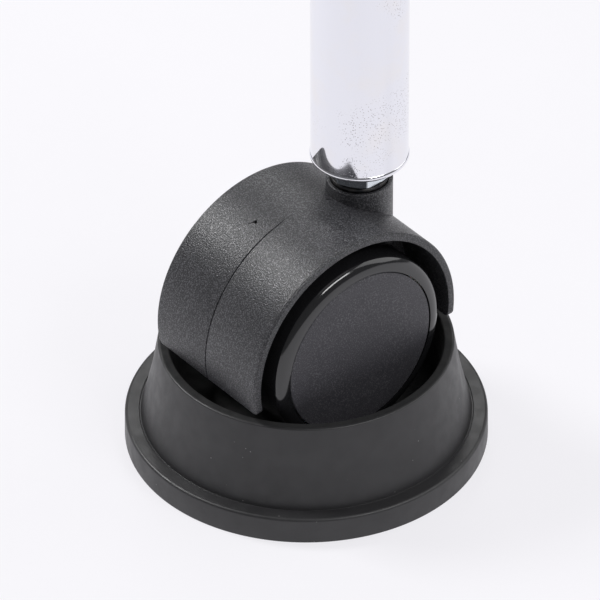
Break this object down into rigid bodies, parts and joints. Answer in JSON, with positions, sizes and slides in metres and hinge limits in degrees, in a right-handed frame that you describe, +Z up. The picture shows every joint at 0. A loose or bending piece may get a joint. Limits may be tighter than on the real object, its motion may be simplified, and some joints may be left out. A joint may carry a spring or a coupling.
{
  "type": "chair caster wheel",
  "caption": "Hooded twin-wheel swivel caster on a round chromed chair leg, standing in a rubber floor cup.",
  "frame": {"origin": "the middle of the cup's underside, on the floor", "axes": "+Z up along the leg, Y along the axle, +X towards the stem, which stands 16.5 mm ahead of the axle"},
  "size_m": [0.0888, 0.0888, 0.14],
  "materials": {
    "hood_plastic": "fine spark-eroded grain, charcoal black",
    "tread_plastic": "polished black",
    "cover_plastic": "finely grained black",
    "natural_plastic": "unpigmented nylon and acetal",
    "cup_rubber": "matt moulded black",
    "leg_chrome": "bright plated, slightly pitted",
    "bright_steel": "bright zinc plated",
    "spring_steel": "dark oiled spring steel"
  },
  "bodies": {
    "cup": {"floor_cup": "cup_rubber"},
    "caster": {"hood_body": "hood_plastic", "axle_pin": "bright_steel", "left_axle_washer": "bright_steel", "left_axle_clip": "spring_steel", "right_axle_washer": "bright_steel", "right_axle_clip": "spring_steel", "stem_swivel_bush": "natural_plastic"},
    "left_wheel": {"left_wheel_core": "natural_plastic", "left_wheel_tread": "tread_plastic", "left_wheel_cover": "cover_plastic", "left_wheel_bush": "natural_plastic"},
    "right_wheel": {"right_wheel_core": "natural_plastic", "right_wheel_tread": "tread_plastic", "right_wheel_cover": "cover_plastic", "right_wheel_bush": "natural_plastic"},
    "leg": {"stem": "bright_steel", "stem_snap_ring": "spring_steel", "stem_thrust_washer": "spring_steel", "stem_lock_nut": "leg_chrome", "leg_tube": "leg_chrome", "leg_end_plug": "bright_steel"}
  },
  "joints": [
    {"name": "lift_out_of_cup", "type": "slide", "parent": "cup", "child": "caster", "axis": [0, 0, 1], "range_m": [0, 0.045]},
    {"name": "left_wheel_spin", "type": "hinge", "parent": "caster", "child": "left_wheel", "pos_m": [0, 0, 0.0363], "axis": [0, 1, 0], "continuous": true},
    {"name": "right_wheel_spin", "type": "hinge", "parent": "caster", "child": "right_wheel", "pos_m": [0, 0, 0.0363], "axis": [0, 1, 0], "continuous": true},
    {"name": "swivel", "type": "hinge", "parent": "caster", "child": "leg", "pos_m": [0.0165, 0, 0.06], "axis": [0, 0, 1], "continuous": true}
  ]
}
